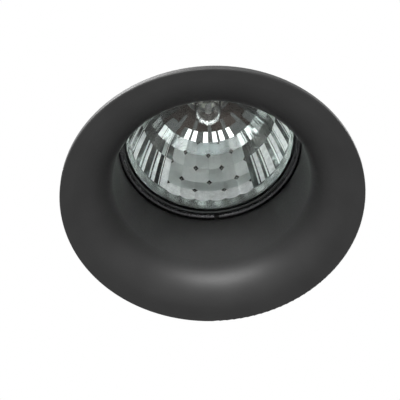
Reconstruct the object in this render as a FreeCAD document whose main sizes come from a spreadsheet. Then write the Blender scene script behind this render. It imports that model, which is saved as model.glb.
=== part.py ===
import FreeCAD, Part
import math
import os

import Sketcher
from FreeCAD import Placement, Rotation, Vector

# A recessed soffit downlight with a trumpet-shaped bezel and a 50 mm reflector lamp.
# The frame: +Z goes up into the soffit, the origin is the centre of the rim's seat on the
# soffit's underside, and the two spring clips lie along +X and -X. Millimetres and degrees.

# name, value
SIZES = (
    # bezel
    ("rim_flat", 3.5),
    ("bend_radius", 10.5),
    ("bezel_wall", 1.6),
    ("collar_wall", 2.6),
    ("throat_depth", 28.0),
    ("rim_round", 0.4),
    ("lip_round", 1.8),
    ("stop_thickness", 1.4),
    # retaining ring and its groove
    ("ring_wire", 1.6),
    ("ring_play", 0.05),
    ("ring_seat", 0.3),
    ("ring_gap", 1.4),
    ("ring_split_angle", 87.0),
    ("groove_depth", 0.5),
    # lamp
    ("lamp_radius", 25.3),
    ("lamp_rim_height", 3.0),
    ("lamp_shoulder", 1.0),
    ("lamp_edge_round", 0.6),
    ("lamp_play", 0.3),
    ("lamp_side_play", 0.7),
    ("lamp_rim_width", 0.75),
    ("glass_ledge", 0.55),
    ("glass_thickness", 1.0),
    ("glass_recess", 0.15),
    ("glass_gap", 0.15),
    ("knee_radius", 18.9),
    ("knee_depth", 19.5),
    ("side_curve", 100.0),
    ("floor_curve", 12.0),
    ("bowl_wall", 1.0),
    ("neck_bore", 6.85),
    ("neck_wall", 1.65),
    ("neck_shoulder", 2.0),
    ("neck_length", 4.5),
    ("lamp_length", 50.0),
    ("base_stretch", 6.0),
    ("base_side", 1.5),
    ("base_round", 6.0),
    ("base_wall", 2.0),
    ("base_clearance", 1.0),
    ("fit_play", 0.05),
    ("capsule_radius", 4.0),
    ("capsule_wall", 0.8),
    ("capsule_depth", 16.7),
    ("capsule_length", 14.0),
    ("pinch_width", 7.0),
    ("pinch_breadth", 3.0),
    ("pinch_length", 8.5),
    ("cement_step", 2.0),
    ("filament_wire", 0.3),
    ("filament_radius", 0.8),
    ("filament_pitch", 0.75),
    ("filament_turns", 5.0),
    ("filament_leg", 1.5),
    ("post_radius", 0.2),
    ("wire_radius", 0.3),
    # bayonet pins
    ("pin_spacing", 10.0),
    ("pin_neck_radius", 1.5),
    ("pin_head_radius", 2.5),
    ("pin_neck_length", 3.2),
    ("pin_head_length", 3.0),
    ("pin_tail_radius", 1.2),
    ("pin_tail_length", 3.0),
    ("lamp_turn", 22.0),
    # lampholder
    ("holder_end", 0.75),
    ("holder_height", 17.0),
    ("holder_round", 4.0),
    ("holder_floor", 2.6),
    ("holder_cover", 2.4),
    ("holder_wall", 1.4),
    ("chamber_clearance", 0.9),
    ("contact_width", 4.0),
    ("contact_thickness", 0.5),
    ("contact_gap", 0.3),
    ("contact_pocket", 5.0),
    ("holder_screw_margin", 1.35),
    # strap bracket
    ("strap_width", 17.0),
    ("strap_thickness", 1.2),
    ("boss_height", 2.4),
    ("strap_bottom", 13.0),
    ("strap_slope", 18.0),
    ("bridge_margin", 4.0),
    ("strap_bend", 1.5),
    ("boss_margin", 1.0),
    ("boss_top", 31.0),
    ("strap_screw_spacing", 10.0),
    ("strap_screw_height", 22.0),
    ("strap_screw_depth", 3.4),
    # screws
    ("screw_radius", 1.5),
    ("screw_head_radius", 2.75),
    ("screw_head_height", 2.0),
    ("screw_play", 0.1),
    ("screw_slot", 0.7),
    ("nut_radius", 3.15),
    ("nut_height", 2.4),
    # terminal block
    ("pole_pitch", 10.2),
    ("block_end", 1.5),
    ("block_height", 14.0),
    ("block_wall", 1.4),
    ("block_round", 1.5),
    ("barrel_radius", 2.6),
    ("barrel_length", 13.0),
    ("barrel_bore", 1.6),
    ("barrel_web", 1.0),
    ("terminal_height", 6.0),
    ("terminal_screw_radius", 1.2),
    ("terminal_head_radius", 1.9),
    ("terminal_head_height", 1.5),
    ("fixing_head_radius", 2.1),
    # leads
    ("lead_radius", 1.1),
    ("conductor_radius", 0.7),
    ("conductor_length", 4.6),
    ("lead_end", 1.0),
    ("lead_run", 5.0),
    ("lead_loop", 5.5),
    ("earth_fall", 7.0),
    ("earth_screw_drop", 12.5),
    ("tag_thickness", 0.8),
    ("tag_radius", 3.4),
    ("tag_rise", 8.5),
    ("tag_barrel_length", 5.0),
    # spring clips
    ("pivot_offset", 3.9),
    ("clip_pivot_height", 15.0),
    ("clip_drop", 12.0),
    ("clip_pin_radius", 1.2),
    ("clip_pin_head", 1.9),
    ("ear_radius", 3.0),
    ("ear_thickness", 2.4),
    ("ear_gap", 0.3),
    ("arm_half_width", 6.0),
    ("arm_thickness", 1.0),
    ("arm_length", 27.0),
    ("heel_gap", 0.3),
    ("arm_tip_run", 4.0),
    ("arm_tip_rise", 1.8),
    ("cheek_radius", 2.6),
    ("cheek_run", 9.0),
    ("pad_length", 8.0),
    ("pad_wall", 1.0),
    ("spring_wire", 1.0),
    ("spring_radius", 2.3),
    ("spring_pitch", 1.5),
    ("spring_turns", 4.0),
    ("spring_leg", 11.0),
    ("spring_gap", 0.1),
)

doc = FreeCAD.newDocument("SoffitDownlight")
sheet = doc.addObject("Spreadsheet::Sheet", "Sizes")


class Size:
    """A length or angle, held as its number and as the sheet expression that gives it."""

    def __init__(self, value, text):
        self.value = float(value)
        self.text = text

    @staticmethod
    def of(other):
        return other if isinstance(other, Size) else Size(other, f"{float(other):.9g}")

    def __add__(self, other):
        other = Size.of(other)
        return Size(self.value + other.value, f"({self.text} + {other.text})")

    def __radd__(self, other):
        return Size.of(other) + self

    def __sub__(self, other):
        other = Size.of(other)
        return Size(self.value - other.value, f"({self.text} - ({other.text}))")

    def __rsub__(self, other):
        return Size.of(other) - self

    def __mul__(self, other):
        other = Size.of(other)
        return Size(self.value * other.value, f"({self.text} * ({other.text}))")

    def __rmul__(self, other):
        return Size.of(other) * self

    def __truediv__(self, other):
        other = Size.of(other)
        return Size(self.value / other.value, f"({self.text} / ({other.text}))")

    def __neg__(self):
        return Size(-self.value, f"(0 - {self.text})")


def root(size):
    return Size(math.sqrt(size.value), f"sqrt({size.text})")


def cosine(angle):
    return Size(math.cos(math.radians(angle.value)), f"cos({angle.text} * 1 deg)")


def sine(angle):
    return Size(math.sin(math.radians(angle.value)), f"sin({angle.text} * 1 deg)")


def far_side(radius, offset):
    """The other side of a right triangle with a circle's radius as its long side."""
    return root(radius * radius - offset * offset)


def arc_centre(start, end, radius):
    """The centre of an arc that bulges away from the axis, on the axis's side of its chord."""
    across, up = end[0] - start[0], end[1] - start[1]
    chord = root(across * across + up * up)
    back = far_side(radius, chord / 2)
    return (start[0] + end[0]) / 2 - back * up / chord, (start[1] + end[1]) / 2 + back * across / chord


def named(name, content):
    """Puts a number or a formula into a named cell of the sheet and reads it back."""
    row = named.rows = named.rows + 1
    sheet.set(f"A{row}", name)
    sheet.set(f"B{row}", content)
    sheet.setAlias(f"B{row}", name)
    sheet.recompute()
    return Size(sheet.get(name), f"Sizes.{name}")


named.rows = 0


class Sizes:
    """The driving dimensions and the sizes derived from them, all cells of the sheet."""

    def __init__(self, rows):
        for name, value in rows:
            setattr(self, name, named(name, str(value)))

    def derive(self, **sizes):
        for name, size in sizes.items():
            setattr(self, name, named(name, "=" + size.text.replace("Sizes.", "")))


d = Sizes(SIZES)
# the lamp's bowl, with depths from the lamp's front: a side arc, and a floor arc tangent to it
d.derive(
    recess_radius=d.lamp_radius - d.lamp_rim_width,
    mouth_depth=d.glass_recess + d.glass_thickness,
    cone_depth=d.lamp_rim_height + d.lamp_shoulder,
    neck_radius=d.neck_bore + d.neck_wall,
)
d.derive(
    mouth_radius=d.recess_radius - d.glass_ledge,
    shoulder_radius=d.neck_radius + d.neck_shoulder,
)
side_centre = arc_centre((d.mouth_radius, d.mouth_depth), (d.knee_radius, d.knee_depth), d.side_curve)
d.derive(side_centre_radius=side_centre[0], side_centre_depth=side_centre[1])
floor_share = d.floor_curve / d.side_curve
d.derive(
    floor_centre_radius=d.knee_radius + (d.side_centre_radius - d.knee_radius) * floor_share,
    floor_centre_depth=d.knee_depth + (d.side_centre_depth - d.knee_depth) * floor_share,
)
d.derive(
    bowl_depth=d.floor_centre_depth + far_side(d.floor_curve, d.neck_bore - d.floor_centre_radius),
    base_depth=d.floor_centre_depth
    + far_side(d.floor_curve + d.bowl_wall, d.shoulder_radius - d.floor_centre_radius),
    cone_radius=d.side_centre_radius
    + far_side(d.side_curve + d.bowl_wall, d.cone_depth - d.side_centre_depth),
)
# radii, from the lamp outwards
d.derive(throat_radius=d.lamp_radius + d.lamp_side_play)
d.derive(
    glass_radius=d.recess_radius - d.glass_gap,
    stop_radius=d.cone_radius + d.lamp_play,
    groove_radius=d.throat_radius + d.groove_depth,
    collar_radius=d.throat_radius + d.collar_wall,
    back_bend=d.bend_radius - d.bezel_wall,
)
d.derive(
    ring_radius=d.groove_radius - d.ring_play - d.ring_wire / 2,
    bend_start=d.collar_radius + d.back_bend,
    strap_reach=d.collar_radius + d.boss_height,
    pivot_reach=d.collar_radius + d.pivot_offset,
    lip_centre=d.throat_radius + d.lip_round,
)
d.derive(
    rim_radius=d.bend_start + d.rim_flat,
    strap_outside=d.strap_reach + d.strap_thickness,
    # the ring rests just clear of the rounded lip
    lip_to_ring=d.lip_round + d.ring_seat + d.ring_wire / 2,
    lip_offset=d.lip_centre - d.ring_radius,
    lip_back=d.lip_centre - d.groove_radius,
)
# plans of the lamp's base, the lampholder and the terminal block
d.derive(
    base_breadth=2 * (d.neck_radius + d.base_side),
    base_cavity=d.pin_spacing / 2 + d.pin_neck_radius + d.base_clearance,
    chamber_radius=d.pin_spacing / 2 + d.pin_head_radius + d.chamber_clearance,
    holder_width=2 * (d.pole_pitch + d.lead_radius + d.holder_wall + d.lamp_play),
    block_breadth=d.barrel_length + 2 * d.block_end,
)
d.derive(
    base_width=d.base_breadth + d.base_stretch,
    screw_spacing=2 * (d.chamber_radius + d.screw_head_radius + d.holder_screw_margin),
)
d.derive(holder_length=d.screw_spacing + 2 * (d.screw_head_radius + d.holder_end))
d.derive(
    bridge_reach=d.holder_length / 2 + d.bridge_margin,
    lead_shoulder=d.holder_length / 2 + d.lead_run,
)
# heights, from the rim's face upwards
d.derive(face=-d.bezel_wall)
d.derive(
    bend_centre=d.face + d.bend_radius,
    throat_end=d.face + d.throat_depth,
)
d.derive(
    ring_height=d.throat_end + root(d.lip_to_ring * d.lip_to_ring - d.lip_offset * d.lip_offset),
    lip_top=d.throat_end + root(d.lip_round * d.lip_round - d.lip_back * d.lip_back),
)
d.derive(
    groove_high=d.ring_height + d.ring_wire / 2 + d.ring_play,
    lamp_front=d.ring_height + d.ring_wire / 2,
)
d.derive(
    stop_low=d.lamp_front + d.cone_depth + d.fit_play,
    neck_top=d.lamp_front + d.base_depth + d.neck_length,
    base_bottom=d.lamp_front + d.base_depth,
    base_top=d.lamp_front + d.lamp_length,
    dome_height=d.lamp_front + d.capsule_depth,
)
d.derive(
    collar_top=d.stop_low + d.stop_thickness,
    end_wall=d.base_top - d.base_wall,
    capsule_back=d.dome_height + d.capsule_length,
    pin_head_low=d.base_top + d.pin_neck_length,
    holder_bottom=d.base_top + d.lamp_play,
)
d.derive(
    pinch_top=d.capsule_back + d.pinch_length,
    pin_top=d.pin_head_low + d.pin_head_length,
    holder_top=d.holder_bottom + d.holder_height,
    chamber_bottom=d.holder_bottom + d.holder_floor,
)
d.derive(
    cover_bottom=d.holder_top - d.holder_cover,
    chamber_top=d.pin_top + d.contact_gap / 2,
    contact_bottom=d.pin_top + d.contact_gap,
    bridge_top=d.holder_top + d.strap_thickness,
)
d.derive(
    lead_exit=(d.chamber_top + d.cover_bottom) / 2,
    earth_screw_height=d.holder_top - d.strap_slope - d.earth_screw_drop,
    terminal_axis=d.bridge_top + d.terminal_height,
    block_top=d.bridge_top + d.block_height,
)
d.derive(conductor_axis=d.terminal_axis - d.barrel_bore + d.conductor_radius)
# the spring clips, about their pivots
d.derive(
    pivot_bore=d.clip_pin_radius + d.fit_play,
    arm_high=-d.spring_radius - d.spring_wire / 2 - d.spring_gap,
    cheek_inside=d.arm_half_width - d.arm_thickness,
    ear_inside=d.arm_half_width + d.ear_gap,
    tag_front=-d.strap_outside - d.tag_thickness,
)
d.derive(arm_low=d.arm_high - d.arm_thickness, ear_outside=d.ear_inside + d.ear_thickness)
d.derive(
    # the arm's heel stops just short of the collar's wall
    arm_heel=(d.pivot_offset - d.heel_gap + d.arm_low * sine(d.clip_drop)) / cosine(d.clip_drop),
)

# ---------------------------------------------------------------- modelling helpers

# edges are picked out by place, to within this many millimetres
NEAR = 1e-3
pieces = []


def kept(item):
    """Marks a document object as one of the part's pieces."""
    pieces.append(item)
    return item


def bind(item, **sizes):
    """Sets properties to sizes; an underscore pair in a name stands for a dot."""
    for name, size in sizes.items():
        item.setExpression(name.replace("__", "."), Size.of(size).text)


def circle(u, v, radius):
    return ("circle", Size.of(u), Size.of(v), Size.of(radius))


def polygon(corners, arcs=None):
    """A closed loop. arcs gives, for the corner an arc starts at, its radius and its centre."""
    return ("polygon", [(Size.of(u), Size.of(v)) for u, v in corners], arcs or {})


def rectangle(low_u, low_v, high_u, high_v):
    return polygon([(low_u, low_v), (high_u, low_v), (high_u, high_v), (low_u, high_v)])


def rounded(half_u, half_v, radius):
    """A rectangle about the origin with round corners."""
    u, v = half_u - radius, half_v - radius
    corners = [
        (-u, -half_v), (u, -half_v), (half_u, -v), (half_u, v),
        (u, half_v), (-u, half_v), (-half_u, v), (-half_u, -v),
    ]
    arcs = {1: (radius, (u, -v)), 3: (radius, (u, v)), 5: (radius, (-u, v)), 7: (radius, (-u, -v))}
    return polygon(corners, arcs)


def pin_point(sketch, geometry, end, u, v):
    """Fixes a point of the sketch at u, v from its origin."""
    for kind, size in (("DistanceX", u), ("DistanceY", v)):
        index = sketch.addConstraint(Sketcher.Constraint(kind, -1, 1, geometry, end, size.value))
        sketch.setExpression(f"Constraints[{index}]", size.text)


def set_radius(sketch, geometry, size):
    index = sketch.addConstraint(Sketcher.Constraint("Radius", geometry, size.value))
    sketch.setExpression(f"Constraints[{index}]", size.text)


def draw_arc(sketch, start, end, centre, radius):
    """Adds the shorter arc about centre and returns it with the numbers of its two ends."""
    middle = (start + end) * 0.5 - centre
    middle = centre + middle.normalize() * radius
    index = sketch.addGeometry(Part.Arc(start, middle, end), False)
    first = sketch.getPoint(index, 1)
    return (index, 1, 2) if first.distanceToPoint(start) < first.distanceToPoint(end) else (index, 2, 1)


def draw_polygon(sketch, corners, arcs):
    points = [Vector(u.value, v.value, 0) for u, v in corners]
    drawn = []
    for number, start in enumerate(points):
        end = points[(number + 1) % len(points)]
        if number in arcs:
            radius, (centre_u, centre_v) = arcs[number]
            centre = Vector(Size.of(centre_u).value, Size.of(centre_v).value, 0)
            item = draw_arc(sketch, start, end, centre, Size.of(radius).value)
        else:
            item = (sketch.addGeometry(Part.LineSegment(start, end), False), 1, 2)
        drawn.append(item)
    for number, (index, first, last) in enumerate(drawn):
        following, following_first, _ = drawn[(number + 1) % len(drawn)]
        sketch.addConstraint(
            Sketcher.Constraint("Coincident", index, last, following, following_first)
        )
        pin_point(sketch, index, first, *corners[number])
    for number, (radius, _) in arcs.items():
        set_radius(sketch, drawn[number][0], Size.of(radius))


def sketch_on(body, plane, loops, offset=0.0):
    """A sketch of closed loops on one of the body's origin planes, moved along its normal."""
    count = sum(1 for item in body.Group if item.TypeId == "Sketcher::SketchObject")
    sketch = body.newObject("Sketcher::SketchObject", f"{body.Name}_sketch_{count + 1}")
    support = [item for item in body.Origin.OriginFeatures if item.Role == plane]
    sketch.AttachmentSupport = (support[0], [""])
    sketch.MapMode = "FlatFace"
    bind(sketch, AttachmentOffset__Base__z=offset)
    for kind, *loop in loops:
        if kind == "circle":
            u, v, radius = loop
            centre = Vector(u.value, v.value, 0)
            index = sketch.addGeometry(Part.Circle(centre, Vector(0, 0, 1), radius.value), False)
            pin_point(sketch, index, 3, u, v)
            set_radius(sketch, index, radius)
        else:
            draw_polygon(sketch, *loop)
    return sketch


def new_body(name):
    return doc.addObject("PartDesign::Body", name)


def along(plane, low, high):
    """The ends of a stretch of the plane's own axis, in the direction of the plane's normal."""
    low, high = Size.of(low), Size.of(high)
    return (-high, -low) if plane == "XZ_Plane" else (low, high)


def pad(body, plane, loops, low, high):
    """Adds the loops' area between two places along the axis square to the plane."""
    near, far = along(plane, low, high)
    feature = body.newObject("PartDesign::Pad", f"{body.Name}_pad")
    feature.Profile = sketch_on(body, plane, loops, near)
    bind(feature, Length=far - near)
    doc.recompute()
    return feature


def pocket(body, plane, loops, low, high):
    """Cuts the loops' area away between two places along the axis square to the plane."""
    near, far = along(plane, low, high)
    before = body.Shape.Volume
    feature = body.newObject("PartDesign::Pocket", f"{body.Name}_pocket")
    feature.Profile = sketch_on(body, plane, loops, far)
    bind(feature, Length=far - near)
    doc.recompute()
    if body.Shape.Volume >= before:
        raise ValueError(f"{feature.Label} cuts nothing")
    return feature


def turn(body, loops, cut=False):
    """Revolves loops drawn in the XZ plane about Z, to add or to cut."""
    before = body.Shape.Volume if cut else 0.0
    kind = "Groove" if cut else "Revolution"
    feature = body.newObject(f"PartDesign::{kind}", f"{body.Name}_{kind.lower()}")
    feature.Profile = sketch_on(body, "XZ_Plane", loops)
    feature.ReferenceAxis = (feature.Profile[0], ["V_Axis"])
    feature.Angle = 360.0
    doc.recompute()
    if cut and body.Shape.Volume >= before:
        raise ValueError(f"{feature.Label} cuts nothing")
    return feature


def round_edges(body, radius, chosen):
    """Fillets the edges for which chosen(edge) is true."""
    names = [f"Edge{i}" for i, edge in enumerate(body.Shape.Edges, start=1) if chosen(edge)]
    if not names:
        raise ValueError(f"no edge to round on {body.Label}")
    base = body.Tip
    feature = body.newObject("PartDesign::Fillet", f"{body.Name}_fillet")
    feature.Base = (base, names)
    bind(feature, Radius=radius)
    doc.recompute()
    return feature


def is_ring(edge, radius, height):
    """True for a full circle about Z of this radius at this height."""
    if not isinstance(edge.Curve, Part.Circle):
        return False
    return (
        abs(edge.Curve.Radius - radius.value) < NEAR
        and abs(edge.Curve.Center.z - height.value) < NEAR
        and math.hypot(edge.Curve.Center.x, edge.Curve.Center.y) < NEAR
    )


DEGREES = 180 / math.pi
AXES = {"X": Rotation(Vector(0, 1, 0), 90), "Y": Rotation(Vector(1, 0, 0), -90), "Z": Rotation()}


def place(item, at, axis="Z"):
    item.Placement = Placement(Vector(0, 0, 0), AXES[axis])
    x, y, z = at
    bind(item, Placement__Base__x=x, Placement__Base__y=y, Placement__Base__z=z)
    return item


def cylinder(label, radius, length, at, axis="Z"):
    item = doc.addObject("Part::Cylinder", label)
    bind(item, Radius=radius, Height=length)
    return place(item, at, axis)


def block(label, low, high):
    item = doc.addObject("Part::Box", label)
    spans = [Size.of(b) - a for a, b in zip(low, high)]
    bind(item, Length=spans[0], Width=spans[1], Height=spans[2])
    return place(item, low)


def fuse(label, shapes):
    item = doc.addObject("Part::MultiFuse", label)
    item.Shapes = shapes
    return item


def cut(label, base, tools):
    item = doc.addObject("Part::Cut", label)
    item.Base = base
    item.Tool = tools[0] if len(tools) == 1 else fuse(f"{label}_tools", tools)
    return item


def group(label, shapes):
    """Separate solids that share one node."""
    item = doc.addObject("Part::Compound", label)
    item.Links = shapes
    return item


def moved(at, axis, distance):
    """The point at a distance from another along one axis."""
    index = "XYZ".index(axis)
    return [Size.of(c) + distance if i == index else Size.of(c) for i, c in enumerate(at)]


def screw(label, seat, axis, sign, shank, radius, head_radius, head_height):
    """A slotted screw. seat is the point under its head, and the shank goes sign * axis from it."""
    shank_from = seat if sign > 0 else moved(seat, axis, -Size.of(shank))
    head_from = moved(seat, axis, -head_height) if sign > 0 else seat
    core = cylinder(f"{label}_shank", radius, shank, shank_from, axis)
    head = cylinder(f"{label}_head", head_radius, head_height, head_from, axis)
    slot_depth = head_height * 0.4
    slot_from = head_from if sign > 0 else moved(head_from, axis, head_height - slot_depth)
    long_way = "X" if axis != "X" else "Y"
    low = []
    high = []
    for name, start in zip("XYZ", slot_from):
        if name == axis:
            low.append(Size.of(start))
            high.append(Size.of(start) + slot_depth)
        else:
            half = head_radius if name == long_way else d.screw_slot / 2
            low.append(Size.of(start) - half)
            high.append(Size.of(start) + half)
    slot = block(f"{label}_slot", low, high)
    return cut(label, fuse(f"{label}_blank", [core, head]), [slot])


def nut(label, at, axis):
    """A hexagon nut that starts at a point and goes along the axis."""
    prism = doc.addObject("Part::Prism", f"{label}_blank")
    prism.Polygon = 6
    bind(prism, Circumradius=d.nut_radius, Height=d.nut_height)
    place(prism, at, axis)
    bore = cylinder(f"{label}_bore", d.screw_radius + d.screw_play, d.nut_height, at, axis)
    return cut(label, prism, [bore])


# ---------------------------------------------------------------- wires and leads


def value_of(size):
    return Size.of(size).value


def arc_between(start, tangent, end):
    """The arc from start to end that leaves along tangent, or a line where they are in line."""
    chord = end - start
    across = chord - tangent * chord.dot(tangent)
    if across.Length < 1e-9 * max(1.0, chord.Length):
        return Part.LineSegment(start, end).toShape()
    across.normalize()
    radius = chord.dot(chord) / (2 * chord.dot(across))
    centre = start + across * radius
    middle = centre + ((start + end) * 0.5 - centre).normalize() * radius
    return Part.Arc(start, middle, end).toShape()


def biarc(start, tangent, end, end_tangent):
    """Two arcs that meet smoothly and join two points with given tangents."""
    v = end - start
    t = tangent + end_tangent
    spread = 2 * (1 - tangent.dot(end_tangent))
    reach = (-v.dot(t) + math.sqrt(v.dot(t) ** 2 + spread * v.dot(v))) / spread
    joint = (start + tangent * reach + end - end_tangent * reach) * 0.5
    first = arc_between(start, tangent, joint)
    return [first, arc_between(end, end_tangent * -1, joint)]


def tube(edges, start, tangent, radius):
    """One unbroken tube along a path that starts at a point with a tangent."""
    path = Part.Wire(Part.__sortEdges__(edges))
    profile = Part.Wire([Part.Circle(start, tangent, radius).toShape()])
    shell = Part.BRepOffsetAPI.MakePipeShell(path)
    shell.add(profile, False, False)
    shell.build()
    shell.makeSolid()
    return shell.shape()


def helix_point(radius, pitch, angle, first):
    """A point of a helix about Z and its tangent; the angle counts on from first, in radians."""
    rise = pitch / (2 * math.pi)
    point = Vector(radius * math.cos(angle), radius * math.sin(angle), rise * (angle - first))
    tangent = Vector(-radius * math.sin(angle), radius * math.cos(angle), rise)
    return point, tangent.normalize()


def coil(radius, pitch, first, last, wire, lead_in=0.0, lead_out=0.0):
    """A coiled wire about Z from one angle to another in degrees, with straight legs."""
    first, last = math.radians(first), math.radians(last)
    quarters = max(1, math.ceil((last - first) / (math.pi / 2) - 1e-9))
    stops = [first + (last - first) * i / quarters for i in range(quarters + 1)]
    marks = [helix_point(radius, pitch, angle, first) for angle in stops]
    edges = []
    start, tangent = marks[0]
    if lead_in:
        leg = start - tangent * lead_in
        edges.append(Part.LineSegment(leg, start).toShape())
        start = leg
    for (a, ta), (b, tb) in zip(marks, marks[1:]):
        edges += biarc(a, ta, b, tb)
    if lead_out:
        end, end_tangent = marks[-1]
        edges.append(Part.LineSegment(end, end + end_tangent * lead_out).toShape())
    gap = least_gap(radius, pitch, first, last, wire)
    print(f"coil of wire {wire:g}: least gap to itself {gap:.2f} mm")
    return tube(edges, start, tangent, wire / 2)


def least_gap(radius, pitch, first, last, wire):
    """The least gap between turns, measured on points at least three quarters of a turn apart."""
    steps = max(8, int((last - first) / math.radians(15)))
    angles = [first + (last - first) * i / steps for i in range(steps + 1)]
    points = [helix_point(radius, pitch, angle, first)[0] for angle in angles]
    apart = int(1.5 * math.pi / math.radians(15))
    pairs = [
        a.distanceToPoint(b) for i, a in enumerate(points) for b in points[i + apart:]
    ]
    return min(pairs) - wire


def lead(label, points, stub_start, stub_end):
    """An insulated lead through chosen points, with a bare conductor standing out at its ends."""
    points = [Vector(*[value_of(c) for c in p]) for p in points]
    share = 0.45
    edges, start, radii = [], points[0], []
    for before, corner, after in zip(points, points[1:], points[2:]):
        come = (corner - before).normalize()
        go = (after - corner).normalize()
        half_turn = come.getAngle(go) / 2
        run = min(before.distanceToPoint(corner), corner.distanceToPoint(after))
        reach = share * run
        radii.append(reach / math.tan(half_turn))
        first, last = corner - come * reach, corner + go * reach
        edges.append(Part.LineSegment(start, first).toShape())
        edges.append(arc_between(first, come, last))
        start = last
    edges.append(Part.LineSegment(start, points[-1]).toShape())
    radius = value_of(d.lead_radius)
    come = (points[1] - points[0]).normalize()
    solid = tube(edges, points[0], come, radius)
    length = sum(edge.Length for edge in edges)
    whole = math.pi * radius**2 * length
    print(f"{label}: {length:.1f} mm, arc radii {[round(r, 1) for r in radii]}, "
          f"volume {solid.Volume / whole:.4f} of section by length")
    go = (points[-1] - points[-2]).normalize()
    core = value_of(d.conductor_radius)
    if value_of(stub_start):
        solid = solid.fuse(Part.makeCylinder(core, value_of(stub_start), points[0], come * -1))
    if value_of(stub_end):
        solid = solid.fuse(Part.makeCylinder(core, value_of(stub_end), points[-1], go))
    item = doc.addObject("Part::Feature", label)
    item.Shape = solid.removeSplitter()
    return kept(item)


# ---------------------------------------------------------------- bezel


def tangent_point(centre, radius, outside):
    """Where a line from a point outside a circle touches it, on the circle's inner side."""
    across, up = outside[0] - centre[0], outside[1] - centre[1]
    square = across * across + up * up
    near = radius * radius / square
    side = radius * root(square - radius * radius) / square
    return centre[0] + near * across - side * up, centre[1] + near * up + side * across


def build_bezel():
    """The cast trumpet: rim, bend and throat, ring groove, lamp stop, clip ears and bosses."""
    body = new_body("bezel")
    outline = [
        (0, d.face), (d.rim_radius, d.face), (d.rim_radius, 0), (d.bend_start, 0),
        (d.collar_radius, d.bend_centre), (d.collar_radius, d.collar_top), (0, d.collar_top),
    ]
    turn(body, [polygon(outline, {3: (d.back_bend, (d.bend_start, d.bend_centre))})])

    root_x = d.throat_radius - d.bezel_wall
    for side in (-1, 1):
        pivot = side * d.pivot_reach
        foot = side * root_x
        low = d.clip_pivot_height - d.ear_radius
        high = d.clip_pivot_height + d.ear_radius
        outline = [(foot, low), (pivot, low), (pivot + side * d.ear_radius, d.clip_pivot_height),
                   (pivot, high), (foot, high)]
        centre = (pivot, d.clip_pivot_height)
        arcs = {1: (d.ear_radius, centre), 2: (d.ear_radius, centre)}
        for cheek in (-1, 1):
            ends = sorted((cheek * d.ear_inside, cheek * d.ear_outside), key=value_of)
            pad(body, "XZ_Plane", [polygon(outline, arcs)], *ends)
            pocket(body, "XZ_Plane", [circle(*centre, d.pivot_bore)], *ends)
    boss_half = d.strap_width / 2 + d.boss_margin
    boss = rectangle(-boss_half, d.strap_bottom - d.boss_margin, boss_half, d.boss_top)
    hole_depth = d.strap_screw_depth + d.fit_play
    holes = [
        circle(x * d.strap_screw_spacing / 2, d.strap_screw_height, d.screw_radius + d.fit_play)
        for x in (-1, 1)
    ]
    for side in (-1, 1):
        ends = sorted((side * root_x, side * d.strap_reach), key=value_of)
        pad(body, "XZ_Plane", [boss], *ends)
        ends = sorted((side * (d.strap_reach - hole_depth), side * d.strap_reach), key=value_of)
        pocket(body, "XZ_Plane", holes, *ends)

    bend = (d.bend_start, d.bend_centre)
    bend_end = tangent_point(bend, d.bend_radius, (d.throat_radius, d.throat_end))
    outline = [
        (0, d.face), (d.bend_start, d.face), bend_end, (d.throat_radius, d.throat_end),
        (d.groove_radius, d.lip_top), (d.groove_radius, d.groove_high),
        (d.throat_radius, d.groove_high), (d.throat_radius, d.stop_low), (d.stop_radius, d.stop_low),
        (d.stop_radius, d.collar_top), (0, d.collar_top),
    ]
    arcs = {1: (d.bend_radius, bend), 3: (d.lip_round, (d.lip_centre, d.throat_end))}
    turn(body, [polygon(outline, arcs)], cut=True)
    round_edges(body, d.rim_round, lambda e: is_ring(e, d.rim_radius, d.face))
    return kept(body)


def build_retaining_ring():
    """Spring wire in the groove, split on the far side."""
    item = doc.addObject("Part::Torus", "retaining_ring")
    split = d.ring_gap / d.ring_radius * DEGREES
    bind(item, Radius1=d.ring_radius, Radius2=d.ring_wire / 2, Angle3=360 - split)
    item.Placement = Placement(Vector(0, 0, 0), Rotation(Vector(0, 0, 1), 0))
    bind(item, Placement__Base__z=d.ring_height)
    bind(item, Placement__Rotation__Angle=d.ring_split_angle + split / 2)
    return kept(item)


# ---------------------------------------------------------------- lamp


def build_reflector():
    """Pressed glass bowl with a rim, a recess for the cover glass and a hollow neck."""
    body = new_body("lamp_reflector")
    front = d.lamp_front
    edge = d.lamp_radius - d.lamp_edge_round
    recess_floor = front + d.mouth_depth
    side = (d.side_centre_radius, front + d.side_centre_depth)
    floor = (d.floor_centre_radius, front + d.floor_centre_depth)
    # how far the wall's thickness moves the knee outwards and to the back
    knee_out = (d.knee_radius - d.side_centre_radius) * d.bowl_wall / d.side_curve
    knee_back = (d.knee_depth - d.side_centre_depth) * d.bowl_wall / d.side_curve
    outline = [
        (d.recess_radius, front), (edge, front), (d.lamp_radius, front + d.lamp_edge_round),
        (d.lamp_radius, front + d.lamp_rim_height), (d.cone_radius, front + d.cone_depth),
        (d.knee_radius + knee_out, front + d.knee_depth + knee_back),
        (d.shoulder_radius, d.base_bottom), (d.neck_radius, d.base_bottom), (d.neck_radius, d.neck_top),
        (d.neck_bore, d.neck_top), (d.neck_bore, front + d.bowl_depth),
        (d.knee_radius, front + d.knee_depth), (d.mouth_radius, recess_floor),
        (d.recess_radius, recess_floor),
    ]
    arcs = {
        1: (d.lamp_edge_round, (edge, front + d.lamp_edge_round)),
        4: (d.side_curve + d.bowl_wall, side),
        5: (d.floor_curve + d.bowl_wall, floor),
        10: (d.floor_curve, floor),
        11: (d.side_curve, side),
    }
    turn(body, [polygon(outline, arcs)])
    return kept(body)


def build_cover_glass():
    low = d.lamp_front + d.glass_recess
    return kept(cylinder("lamp_cover_glass", d.glass_radius, d.glass_thickness, (0, 0, low)))


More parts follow.
